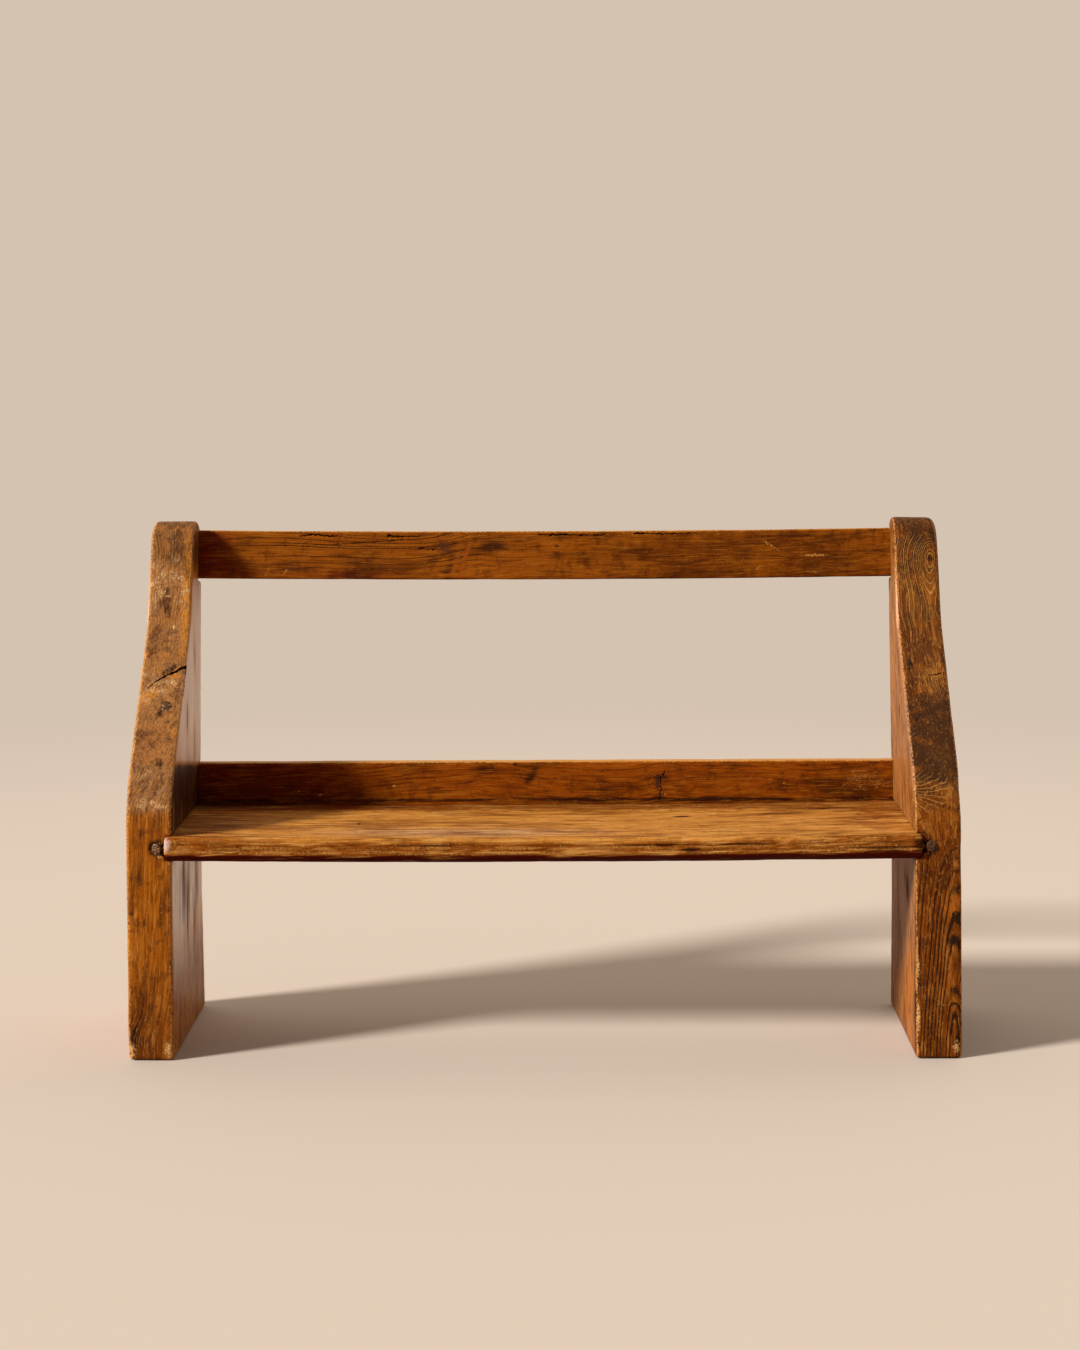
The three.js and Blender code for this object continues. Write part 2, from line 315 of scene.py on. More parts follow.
def wearArris(points, arris, board):
    # rolls each point near an arris onto a round whose radius wanders, with chips where it jumps
    tree, places, normals = arris
    found = [tree.find(p) for p in points]
    index = np.array([f[1] for f in found])
    away = np.array([f[2] for f in found])
    place, normal, seed = places[index], normals[index], board["seed"]
    corner = place + normal * board["edgeRadius"] * (math.sqrt(2) - 1)
    softening = 0.5 + 0.5 * drift(place, board["softeningLength"], seed)
    radius = board["edgeRadius"] + board["softening"] * softening
    radius += board["chipSize"] * smoothStep(*board["chipLimits"], drift(place, board["chipLength"], seed + 1))
    radius += lumps(place, board["wornCorners"])
    centre = corner - normal * (math.sqrt(2) * radius)[:, None]
    spoke = points - centre
    reach = np.linalg.norm(spoke, axis=1)
    rolled = centre + spoke * (radius / np.maximum(reach, 1e-6))[:, None]
    inside = (np.linalg.norm(points - corner, axis=1) < radius * board["wornOverlap"]) & (reach > radius)
    worn = np.where(inside[:, None], rolled, points)
    depth = np.linalg.norm(worn - points, axis=1)
    return worn, away, depth


def openCracks(points, normals, board):
    darkness, seed = np.zeros(len(points)), board["seed"]
    shake = board["crackRagged"]
    for line, (first, last), widest, deepest in board["cracks"]:
        ragged = points + np.outer(drift(points, board["crackRaggedLength"], seed), [shake, 0, shake])
        away, share, depth = awayFromLine(ragged, line)
        width = widest * (first + (last - first) * share)
        width *= 1 + board["crackSwell"] * drift(points, board["crackSwellLength"], seed + 3)
        width = np.maximum(width, board["crackThinnest"])
        facing = (depth < board["crackReach"]) & (normals[:, 1] < board["crackFacing"])
        gap = np.where(facing, np.clip(1 - (away / width) ** 2, 0, 1), 0)
        points = points + np.outer(gap * deepest, [0, 1, 0])
        shade = 1 - smoothStep(*board["crackShade"], away / width)
        darkness = np.maximum(darkness, np.where(facing, shade, 0))
    return points, darkness


def grainFlow(points, board):
    # each point's place round the pith and along it: the pith winds along its path, rings swell
    # round knots, and near a fan's centre the lines run out from it instead
    grain = board["grain"]
    along = points[:, grain]
    path = np.array(board["pith"])
    shifts = np.linspace(-board["pithRounding"], board["pithRounding"], 9)
    offsets = []
    for i, axis in enumerate(axis for axis in range(3) if axis != grain):
        near = [np.interp(along + shift, path[:, 0], path[:, i + 1]) for shift in shifts]
        flat = np.column_stack([along, along * 0, along * 0])
        wander = board["wander"] * drift(flat, board["wanderLength"], board["seed"] + 5 + i)
        offsets.append(points[:, axis] - np.mean(near, axis=0) - wander)
    radius = np.maximum(np.hypot(*offsets), 0.0001)
    stretched = points.copy()
    stretched[:, grain] *= board["wavinessStretch"]
    swollen = radius + board["waviness"] * drift(stretched, board["wavinessLength"], board["seed"] + 8)
    swollen += lumps(points, board["knotBulges"])
    for *spot, amount in board["fans"]:
        side, _, up = (points - np.array(spot[:3]) / 1000).T
        angle = np.arctan2(up, np.abs(side) + board["fanStart"])
        share = np.minimum(lumps(points, [(*spot, board["fanShare"])]), 1)
        middle = (swollen * share).sum() / share.sum()
        swollen += (middle + amount * angle - swollen) * share
    return np.column_stack([offsets[0] * swollen / radius, offsets[1] * swollen / radius, along])


def makeBoard(name, board, material):
    bm = solidCopy(name)
    arris = arrisLine(bm, board)
    fillBores(bm, board)
    mesh = fineMesh(bm, board["voxel"])
    rounded = board["edgeRadius"] + board["arrisFine"]
    refineNear(mesh, lambda points: np.array([arris[0].find(p)[2] for p in points]) < rounded)
    for step in (1, 2):  # the second time in a band half as wide
        for line, _, width, _ in board["cracks"]:
            def besideCrack(points):
                away, _, depth = awayFromLine(points, line)
                return (away < width + board["crackFine"] / step) & (depth < board["crackFineDepth"])
            refineNear(mesh, besideCrack)
    points, normals = readArrays(mesh)
    laid = points.copy()  # the pattern follows the board as it was sawn
    points, away, depth = wearArris(points, arris, board)

    calm = smoothStep(0.0, board["jointCalm"], np.abs(np.abs(points[:, 0]) - halfInside))
    long = drift(laid, board["rippleLength"], board["seed"] + 2)
    short = drift(laid, board["shortRippleLength"], board["seed"] + 4)
    lift = board["ripple"] * (long + board["shortRipple"] * short)
    lift = np.minimum(lift - lumps(laid, board["dents"]), 0) * calm  # only inwards, so that the size holds
    points = points + normals * lift[:, None]
    points, darkness = openCracks(points, normals, board)
    points[:, 2] -= board["sag"] * np.clip(1 - (points[:, 0] / halfInside) ** 2, 0, 1)
    points[:, 2] += np.interp(points[:, 0], [-halfInside, halfInside], board["rise"])
    mesh.vertices.foreach_set("co", points.ravel())
    mesh.update()

    flow = mesh.attributes.new("flow", "FLOAT_VECTOR", "POINT")
    flow.data.foreach_set("vector", grainFlow(laid, board).astype(np.float32).ravel())
    wear = np.clip(1 - away / board["wearReach"], 0, 1)
    wear += np.clip(depth / board["wearDepth"], 0, 1) * board["wearOfDepth"]
    values = {"wear": wear, "crack": darkness, "end": np.abs(normals[:, board["grain"]])}
    stains = []
    for nail in board["nails"]:
        start, _, _, headRadius = nailLines[nail]
        reach = headRadius * board["nailStainReach"] * 1000
        stains.append((*start * 1000, reach, reach, reach, board["nailStain"]))
    for key in patches:
        values[key] = np.minimum(lumps(laid, board[key] + (stains if key == "dark" else [])), 1)
    for key, value in values.items():
        attribute = mesh.attributes.new(key, "FLOAT", "POINT")
        attribute.data.foreach_set("value", value.astype(np.float32))
    mesh.name = name + "_worn"
    addPiece(name + "_worn", mesh, material, name)
    print(name + "_worn", len(mesh.vertices), "points")


# Pine, planed by hand and waxed for a century: rings stand out darker than the wood between them,
# the arrises are rubbed pale, dirt darkens the end grain, cracks are painted dark as dirt and shade,
# and corners get painted shade; painted shadows, sheen, reflections and highlights are in the colour too

commonPatterns = {
    # coordinates, size across the grain, size along it, turned by, detail, distortion
    "cloud": ("flow", 0.040, 0.16, 0.0, 3.0, 0.5),
    "streak": ("flow", 0.010, 0.12, 0.0, 3.0, 0.4),
    "fibre": ("flow", 0.0034, 0.045, 0.0, 2.0, 0.0),
    "mottle": ("place", 0.024, 0.028, 0.0, 5.0, 0.5),
    "fleck": ("place", 0.0036, 0.0042, 0.0, 2.0, 0.6),
    "scratchUp": ("place", 0.0026, 0.018, 0.6, 1.0, 0.2),
    "scratchDown": ("place", 0.0026, 0.018, -0.9, 1.0, 0.2),
}
noiseRoughness, noiseLow, noiseHigh = 0.6, 0.3, 0.7  # most of a noise lies between these two limits
breakers = {  # what is painted by place is broken up by the grain or the flecks, so strongly
    "pale": ("fleck", 0.7), "dark": ("streak", 0.6), "dull": ("mottle", 0.5), "grey": ("mottle", 0.25),
    "gold": ("streak", 0.6), "silver": ("cloud", 0.25), "red": ("cloud", 0.3), "stain": ("streak", 0.5),
    "wear": ("fleck", 0.6), "end": ("mottle", 0.6), "shine": ("fleck", 0.25),
}
ringProfiles = {  # the faintest one's strength, and how strong one is from where it starts to where it ends
    # a ring darkens slowly and ends sharply, where the next spring's wood begins, and no two are alike
    "ring": (0.25, ((0.0, 0.0), (0.42, 0.10), (0.75, 1.0), (0.92, 0.85), (1.0, 0.0))),
    # lines are finer ones between the rings, which the light catches
    "line": (0.45, ((0.0, 0.0), (0.34, 0.05), (0.53, 1.0), (0.70, 0.1), (1.0, 0.0))),
}
commonLook = {  # what all the boards share, before each one's own values
    "patterns": {}, "breakers": breakers, "ringWidth": 0.0055, "ringCount": 1.0, "lineCount": 2.0,
    "ringJitter": 0.5, "ringDrift": 1.5, "fibreRelief": 0.0004, "ringRelief": -0.0004, "fleckRelief": 0.0005,
    # the wax: rougher and smoother in streaks, smoother where polish is painted, rougher where it is dark
    "roughness": 0.50, "roughnessSwing": 0.08, "polish": 0.22, "darkDulling": 0.25,
    "waxIor": 1.45, "gloss": 0.12,
    # a coat on the polished places, smooth enough to mirror: where the grain wears it, how much of it is
    # kept there, and how much dark spots and painted shade take
    "varnish": 0, "varnishRoughness": 0.18, "varnishWorn": (0.46, 0.60), "varnishKept": 0.4, "varnishLoss": 0.7,
}


def agedPine(name, look):
    material, tree = newMaterial(name)
    sources = {"place": addNode(tree, "TexCoord")["Object"],
               "flow": addNode(tree, "Attribute", {"attribute_name": "flow"})["Vector"]}
    drivers = {key: addNode(tree, "Attribute", {"attribute_name": key})["Fac"]
               for key in patches + ("wear", "crack", "end")}
    for key, pattern in {**commonPatterns, **look["patterns"]}.items():
        source, across, along, turned, detail, distortion = pattern
        laid = addNode(tree, "Mapping", {
            "vector_type": "TEXTURE", "Vector": sources[source], "Rotation": (0, turned, 0),
            "Scale": (across, across, along)})[0]
        drivers[key] = addNode(tree, "TexNoise", {
            "Vector": laid, "Scale": 1.0, "Detail": detail, "Roughness": noiseRoughness,
            "Distortion": distortion})["Fac"]
    drivers["scratch"] = addNode(tree, "Math", {
        "operation": "MAXIMUM", 0: drivers["scratchUp"], 1: drivers["scratchDown"]})[0]
    for key, (breaker, swing) in look["breakers"].items():
        swing = addNode(tree, "MapRange", {
            0: drivers[breaker], 1: noiseLow, 2: noiseHigh, 3: 1 - swing, 4: 1 + swing})[0]
        drivers[key] = addNode(tree, "Math", {**multiply, 0: drivers[key], 1: swing})[0]

    across = addNode(tree, "VectorMath", {**multiply, 0: sources["flow"], 1: (1, 1, 0)})[0]
    radius = addNode(tree, "VectorMath", {"operation": "LENGTH", 0: across})["Value"]
    count = addNode(tree, "Math", {"operation": "DIVIDE", 0: radius, 1: look["ringWidth"]})[0]
    for breaker, jitter in (("streak", "ringJitter"), ("cloud", "ringDrift")):
        count = addNode(tree, "Math", {**multiplyAdd, 0: drivers[breaker], 1: look[jitter], 2: count})[0]
    for key, (faintest, profile) in ringProfiles.items():
        turns = addNode(tree, "Math", {**multiply, 0: count, 1: look[key + "Count"]})[0]
        phase = addNode(tree, "Math", {"operation": "FRACT", 0: turns})[0]
        number = addNode(tree, "Math", {"operation": "FLOOR", 0: turns})[0]
        chance = addNode(tree, "TexWhiteNoise", {"noise_dimensions": "1D", "W": number})["Value"]
        strength = addNode(tree, "MapRange", {0: chance, 3: faintest, 4: 1.0})[0]
        shade = addNode(tree, "ValToRGB", {"Fac": phase, "stops": [(x, (y, y, y, 1)) for x, y in profile]})[0]
        drivers[key] = addNode(tree, "Math", {**multiply, 0: shade, 1: strength})[0]

    colour = linear(look["wood"])
    for key, low, high, share, shade in look["layers"]:
        first, *others = key.split("*")
        driver = drivers[first]
        for other in others:
            driver = addNode(tree, "Math", {**multiply, 0: driver, 1: drivers[other]})[0]
        factor = addNode(tree, "MapRange", {**smooth, 0: driver, 1: low, 2: high, 3: 0.0, 4: share})[0]
        colour = addNode(tree, "Mix", {"data_type": "RGBA", 0: factor, 6: colour, 7: linear(shade)})[2]

    smoothest, roughest = (look["roughness"] + sign * look["roughnessSwing"] for sign in (-1, 1))
    roughness = addNode(tree, "MapRange", {
        0: drivers["streak"], 1: noiseLow, 2: noiseHigh, 3: smoothest, 4: roughest})[0]
    for key, amount in (("silver", -look["polish"]), ("dark", look["darkDulling"])):
        roughness = addNode(tree, "Math", {**multiplyAdd, 0: drivers[key], 1: amount, 2: roughness})[0]
    height = addNode(tree, "Math", {**multiply, 0: drivers["fibre"], 1: look["fibreRelief"]})[0]
    for key in ("ring", "fleck"):
        height = addNode(tree, "Math", {
            **multiplyAdd, 0: drivers[key], 1: look[key + "Relief"], 2: height})[0]
    bump = addNode(tree, "Bump", {"Height": height, "Strength": 1.0, "Distance": 1.0})[0]
    finish = {"Base Color": colour, "Roughness": roughness, "Normal": bump, "IOR": look["waxIor"],
              "Specular IOR Level": look["gloss"]}
    if look["varnish"]:
        worn = addNode(tree, "Math", {**multiply, 0: drivers["cloud"], 1: drivers["figure"]})[0]
        low, high = look["varnishWorn"]
        shares = [addNode(tree, "MapRange", {
            **smooth, 0: worn, 1: low, 2: high, 3: look["varnish"],
            4: look["varnish"] * look["varnishKept"]})[0]]
        for key in ("dark", "stain"):
            shares.append(addNode(tree, "Math", {
                **multiplyAdd, 0: drivers[key], 1: -look["varnishLoss"], 2: 1.0, "use_clamp": True})[0])
        weight = drivers["silver"]
        for share in shares:
            weight = addNode(tree, "Math", {**multiply, 0: weight, 1: share, "use_clamp": True})[0]
        finish.update({"Coat Weight": weight, "Coat Roughness": look["varnishRoughness"]})
    shader = addNode(tree, "BsdfPrincipled", finish)[0]
    addNode(tree, "OutputMaterial", {"Surface": shader})
    return material


grainLayers = [
    # driver, where it starts, where it is full, how strong, colour
    ("cloud", 0.5, 0.66, 0.6, "#4f2708"), ("cloud", 0.46, 0.32, 0.35, "#bd7a2c"),
    ("ring*figure", 0.1, 0.6, 0.65, "#3a1a06"), ("streak", 0.52, 0.68, 0.55, "#451f06"),
    ("streak", 0.45, 0.32, 0.4, "#bd7f38"), ("mottle", 0.52, 0.64, 0.5, "#4a2510"),
    ("dark", 0.25, 0.9, 0.85, "#2a140a"), ("fibre", 0.54, 0.68, 0.5, "#331605"),
    ("fibre", 0.45, 0.32, 0.4, "#c4873c"),
]
patinaLayers = [
    ("mottle*grey", 0.4, 0.6, 0.4, "#c8986a"), ("fleck*grey", 0.47, 0.64, 0.6, "#e8c490"),
    ("line*comb", 0.2, 0.8, 0.7, "#c89e56"), ("fleck", 0.6, 0.72, 0.28, "#d8a25e"),
    ("fleck", 0.38, 0.28, 0.35, "#2c1206"), ("scratch*grey", 0.52, 0.64, 0.45, "#e2ba80"),
    ("scratch", 0.74, 0.82, 0.4, "#dcae70"), ("pale", 0.25, 0.9, 0.9, "#e4b878"),
    ("wear", 0.35, 0.95, 0.8, "#d59a56"), ("wear*fleck", 0.62, 0.8, 0.8, "#2a1206"),
    # the shine layer is a painted highlight
    ("shine", 0.3, 1.0, 0.85, "#f0b898"), ("crack", 0.0, 1.0, 1.0, "#120803"),
]

# Each board's own values, read from the photo. Pith: place along the grain, then the two other
# coordinates, in metres. Patches: centre and reach in millimetres, then an amount. Cracks: line in
# millimetres, how open it is at its first and last point, then width and depth in metres.

leftEnd = {
    **commonEnd, "seed": 11, "nails": [n for n in nailLines if "left" in n],
    "pith": [(0.0, -0.9, -0.02), (0.92, -0.86, 0.03)],
    "wornCorners": [
        (-725, -190, 0, 30, 30, 30, 0.006), (-645, -10, 660, 10, 10, 5, 0.006),
        (-725, 130, 918, 20, 60, 30, 0.007), (-645, 130, 918, 20, 60, 30, 0.004),
    ],
    "knotBulges": [(-712, -190, 36, 25, 40, 35, 0.014), (-644, -187, 446, 30, 50, 25, 0.012)],
    "dents": [(-716, -190, 257, 6, 10, 9, 0.003)],
    "cracks": [
        ([(-708.4, -37.8, 631.4), (-692.4, -27.2, 643.4), (-678.9, -20.8, 650.6),
          (-666.9, -16.6, 655.4), (-655, -11.6, 661.1), (-644.5, -8, 664.5)], (0.1, 1.2), 0.0024, 0.011),
        ([(-645.5, -10, 662), (-644.8, -30, 642), (-645.2, -50, 617)], (1.3, 0.4), 0.0014, 0.004),
    ],
    "figure": [
        (*everywhere, 0.35), (-700, -190, 50, 40, 50, 60, 0.6), (-650, -187, 445, 30, 50, 30, 0.8),
        (-645, 0, 240, 4, 400, 110, 1.0), (-645, 60, 600, 4, 400, 120, 0.35),
    ],
    "comb": [(-650, -187, 445, 25, 50, 25, 1.0)],
    # partly painted sheen: the shoulder's slope and the upper front paler grey-brown, as their sheen would show
    "grey": [
        *inPlane("X", -690, 200,
            (70, 810, 120, 110, 0.9), (-40, 620, 120, 80, 0.8), (-150, 504, 40, 18, 0.5),
            (-168, 484, 40, 18, 0.5), (-186, 464, 40, 18, 0.5), (-190, 443, 40, 16, 0.75)),
    ],
    "red": [(-690, -190, 40, 60, 20, 130, 1.0)],
    "gold": [
        (-712, -54, 613, 12, 20, 14, 1.2), (-698, -44, 624, 12, 20, 8, 0.9), (-664, -20, 650, 14, 10, 6, 0.8),
        (-650, 70, 790, 15, 300, 110, 1.3), (-718, 70, 720, 8, 40, 100, 0.5),
        (-645, -40, 30, 4, 300, 110, 0.9),
    ],
    "dark": [
        *stroke((-684, -18, 655), (-662, -8, 666), (6, 10, 5), 1.1, 5), (-683, -77, 587, 8, 12, 8, 1.1),
        (-671, -30, 641, 3, 10, 3, 1.2), (-666, -42, 628, 3, 10, 3, 0.8), (-686, 90, 855, 14, 100, 14, 0.6),
        (-690, -117, 542, 12, 100, 14, 0.6), (-663, -107, 553, 10, 100, 14, 0.6),
        (-669, -141, 514, 16, 50, 12, 0.6), (-693, -175, 476, 14, 50, 10, 0.5),
        (-684, -190, 94, 12, 20, 10, 0.5), (-714, -190, 50, 12, 20, 30, 0.6),
        # on the inner face: painted shade by the top rail at the top, and dark streaks that stand in for an
        # uneven reflection of the wall
        *inPlane("X", -645, 4,
            (120, 860, 60, 45, 1.0), (-52, 298, 22, 60, 1.1), (-10, 225, 18, 80, 1.1), (94, 268, 22, 70, 1.1),
            (60, 190, 16, 60, 0.9), (5, 572, 14, 30, 1.0), (86, 504, 16, 50, 0.9), (99, 684, 12, 50, 0.8)),
        *inPlane("Y", -190, 10,
            (-716, 257, 5, 6, 0.8), (-703, 221, 6, 12, 0.6), (-693, 243, 6, 10, 0.6),
            (-694, 160, 12, 20, 0.5), (-709, 36, 10, 14, 0.7)),
        *inPlane("Y", 60, 100,
            (-705, 830, 9, 16, 0.55), (-691, 796, 9, 9, 0.6), (-688, 762, 14, 22, 0.6),
            (-705, 731, 8, 12, 0.5)),
        *inPlane("Y", -187, 20,
            (-699, 399, 16, 14, 0.45), (-656, 341, 12, 20, 0.55), (-668, 372, 12, 13, 1.3)),
    ],
    "dull": [
        (-690, 110, 895, 80, 100, 45, 1.1), (-690, 60, 770, 20, 100, 90, 0.5),
        (-690, -190, 30, 50, 20, 40, 0.5), (-725, 20, 450, 6, 300, 500, 0.5),
    ],
    # painted reflection: these make the inner face pale, standing in for the wall mirrored in it; a real coat
    # is laid on the same places
    "silver": [(-645, 0, 280, 3, 400, 120, 1.3), (-645, 100, 640, 3, 400, 160, 1.3)],
    # painted shade: a dark band on the inner face beside the lower rail, above the seat, with a sloping top
    # edge
    "stain": [
        *stroke((-645, -190, 486), (-645, 140, 432), (3, 30, 22), 4.0, 12),
        *stroke((-645, -190, 445), (-645, 140, 405), (3, 30, 22), 4.0, 12),
        *stroke((-645, -190, 405), (-645, 140, 395), (3, 30, 22), 4.0, 12),
    ],
    "pale": [
        (-721, -190, 15, 12, 20, 20, 0.75), (-652, -190, 18, 12, 20, 20, 0.7),
        (-688, 60, 786, 8, 100, 3, 0.9), (-674, 60, 731, 4, 100, 4, 1.0), (-664, -30, 640, 12, 20, 8, 0.55),
    ],
    # painted highlights along the outer front arris
    "shine": [
        *stroke((-725.5, 85, 860), (-725.5, 56, 745), (3, 12, 20), 1.1, 8),
        *stroke((-725.5, 50, 735), (-725.5, -50, 615), (2.5, 15, 20), 0.8, 7),
    ],
}
rightEnd = {
    **commonEnd, "seed": 23, "nails": [n for n in nailLines if "right" in n],
    "pith": [(0.0, 0.7127, -0.186), (0.336, 0.7127, -0.142), (0.63, 0.717, -0.039), (0.74, 0.713, 0.036),
             (0.815, 0.7105, 0.062), (0.885, 0.7105, 0.125), (0.95, 0.709, 0.19)],
    "wander": 0.003, "waviness": 0.002, "softening": 0.0008, "wearReach": 0.0045,
    "wornCorners": [
        (725, 140, 900, 20, 60, 50, 0.014), (645, -190, 199, 10, 20, 12, 0.004),
        (645, -190, 127, 10, 20, 10, 0.005), (645, -190, 84, 10, 20, 16, 0.006),
        (725, -190, 0, 30, 30, 40, 0.006), (645, -190, 18, 20, 30, 14, 0.006),
    ],
    "knotBulges": [(716, -190, 113, 12, 30, 16, 0.01)],
    "fans": [(630, -187, 463, 120, 60, 65, 0.023)],
    "cracks": [([(691.1, -25.7, 645.1), (705, -24, 646.5), (718.6, -21.5, 649.8)], (0.5, 1.0), 0.0011, 0.004)],
    "figure": [(*everywhere, 0.3), (685, -190, 150, 200, 20, 220, 0.9)],
    "comb": [
        (690, 90, 790, 200, 300, 85, 1.0), (670, 100, 862, 50, 100, 28, 0.9),
        (665, -180, 463, 50, 60, 34, 1.8), (705, -30, 635, 30, 100, 35, 0.9),
    ],
    "dark": [
        (710.5, 105, 847, 7, 40, 8, 1.5), (663, -89, 573, 10, 20, 12, 0.8), (659, 0, 664, 8, 30, 12, 0.9),
        (668, 60, 740, 12, 30, 30, 0.5), (665, -40, 630, 14, 30, 20, 0.6),
        *inPlane("Y", -190, 20,
            (711, 206, 12, 14, 1.1), (710.8, 120, 8, 10, 1.1), (716, 33, 8, 14, 0.9), (670, 368, 12, 14, 1.2),
            (651, 199, 4, 10, 1.0), (650, 127, 4, 8, 1.0), (650, 23, 4, 12, 0.9)),
        *inPlane("X", 645, 4,
            (-80, 275, 20, 30, 1.0), (-40, 290, 20, 30, 0.8), (60, 194, 50, 100, 0.5), (31, 575, 6, 14, 1.2)),
    ],
    "dull": [
        *stroke((690, -160, 493), (690, -77, 588), (200, 16, 20), 2.0, 8), (690, 110, 885, 80, 100, 60, 0.7),
        (690, -52, 615, 200, 20, 22, 0.55), (690, 60, 780, 80, 100, 90, 0.45),
        (690, -190, 60, 60, 20, 120, 0.3),
    ],
    "gold": [
        (672, -71, 593, 14, 20, 5, 1.2), (656, -80, 588, 6, 20, 4, 1.0), (706, -190, 270, 20, 10, 35, 1.0),
        (675, -20, 658, 14, 50, 14, 0.6), (702, -190, 140, 12, 10, 50, 0.8),
        (645, -110, 80, 3, 110, 120, 0.9), (709, -24, 650, 14, 50, 14, 0.6),
    ],
    "silver": [(645, 0, 400, 2, 600, 500, 1.0)],
    "pale": [*inPlane("Y", -190, 20, (716, 20, 10, 14, 0.75), (649, 70, 4, 30, 0.8), (649, 160, 3, 30, 0.7))],
    "grey": [(690, -150, 480, 200, 80, 50, 0.5), (690, 60, 800, 200, 200, 120, 0.4)],
    # painted highlights along the inner front arris
    "shine": [
        *stroke((645, 80, 868), (645, 56, 745), (2.2, 20, 20), 1.0, 8),
        *stroke((645, 50, 735), (645, -185, 460), (1.8, 30, 30), 0.6, 12),
    ],
}
seatBoard = {
    **commonBoard, "slot": "seat_pine", "seed": 37, "voxel": 0.0042,
    "nails": [n for n in nailLines if n.startswith("seat")],
    "pith": [(-0.7, -0.04, 0.36), (0.7, -0.02, 0.4)],
    "edgeRadius": 0.006, "sag": 0.004, "ripple": 0.0004,
    "wornCorners": [(236, -199, 385, 25, 20, 20, 0.004), (330, -199, 385, 30, 20, 20, 0.003)],
    "figure": [(*everywhere, 0.5), (0, -199, 370, 2000, 20, 30, 0.6)],
    "dark": [
        (653, -195, 375, 10, 30, 15, 0.9),
        *inPlane("Y", -199, 10,
            (212, 380, 10, 4, 1.2), (258, 371, 12, 4, 1.2), (320, 379, 30, 3, 1.1),
            (0, 379.5, 2000, 1.8, 0.7), (0, 371, 2000, 1.6, 0.6), (0, 364, 2000, 1.4, 0.6),
            (600, 366, 50, 10, 0.5)),
        # the patch at the rear left is painted shadow, where the left end's shadow falls
        *inPlane("Z", 392, 10,
            (249, 2, 16, 7, 1.4), (319, -138, 20, 4, 1.0), (-330, -58, 4, 20, 0.9),
            (-600, 130, 120, 100, 0.6), (560, -50, 80, 12, 0.5)),
        *inPlane("Z", 392, 20,
            (510, 60, 90, 30, 0.6), (0, 132, 2000, 14, 0.6), (-270, 100, 60, 12, 0.6),
            (300, 100, 100, 12, 0.5), (420, 20, 60, 10, 0.6)),
    ],
    # painted shadow: deep red at the rear left, where the left end's shadow falls
    "red": [(-600, 120, 392, 300, 70, 20, 0.9), (-300, 140, 392, 300, 30, 20, 0.6)],
    # painted shade: a deep red-black band under the nose
    "stain": [(0, -185, 351, 2000, 50, 8.5, 4.0)],
    "dull": [(0, 120, 392, 2000, 60, 20, 1.2), (600, 50, 392, 100, 200, 20, 0.6)],
    "gold": [
        (0, -201, 370, 2000, 11, 20, 1.2),
        *inPlane("Z", 392, 20, (0, 120, 2000, 50, 0.9), (-620, 0, 120, 300, 0.8), (600, 0, 120, 300, 0.6)),
    ],
    "pale": [(0, -199, 386.5, 2000, 10, 2.2, 0.62), (0, -199, 367, 2000, 10, 1.4, 0.6)],
    # painted sheen: a greyish band near the front
    "grey": [(-140, -140, 392, 320, 50, 20, 0.9)],
    # painted highlight on the seat's left end
    "shine": [(-654, -199, 379, 9, 18, 13, 1.2)],
}
lowerRail = {
    **commonRail, "seed": 53, "nails": [n for n in nailLines if "lower_rail" in n or "back" in n],
    "pith": [(-0.7, 0.42, 0.7), (0.7, 0.4, 0.74)],
    "softening": 0.0012, "chipSize": 0.002, "rise": (0.002, 0.002),
    "knotBulges": [(222, 140, 425, 30, 50, 30, 0.008), (-90, 140, 430, 80, 50, 40, 0.006)],
    "cracks": [([(223.2, 136, 445.5), (215, 136, 431), (216.5, 136, 413), (213, 136, 392.6)],
                (1.0, 0.6), 0.0012, 0.003)],
    "figure": [(*everywhere, 0.6)],
    "dark": [
        *stroke((-149, 136, 418.5), (-104, 136, 461), (14, 20, 8), 0.6),
        *stroke((-34, 136, 423.6), (-13, 136, 461), (10, 20, 9), 0.6),
        *inPlane("Y", 136, 20,
            (218, 432, 20, 14, 0.8), (206, 405, 10, 14, 0.6), (-55, 460, 6, 4, 1.0), (530, 415, 50, 14, 0.7),
            (0, 394, 2000, 4, 0.9), (440, 430, 30, 10, 0.6), (620, 445, 30, 12, 0.5)),
    ],
    # painted shadow: the rail's left part deep red, where the left end's shadow falls
    "red": [(-660, 136, 420, 320, 30, 80, 1.4)],
    "dull": [(580, 136, 420, 140, 30, 50, 1.0)],
    "silver": [(209, 136, 425, 6, 20, 18, 1.1)],
    "pale": [
        (0, 149, 465.5, 2000, 20, 3, 1.0),
        *inPlane("Y", 136, 10,
            (-281, 421, 3, 2, 1.4), (-419, 405, 3, 2, 1.4), (-460, 411, 2, 2, 1.2), (-201, 432, 2, 2, 1.2),
            (222, 402, 2.2, 5, 0.7), (444, 424, 2, 2, 1.2)),
    ],
    "grey": [(600, 136, 430, 140, 30, 50, 0.95)],
}
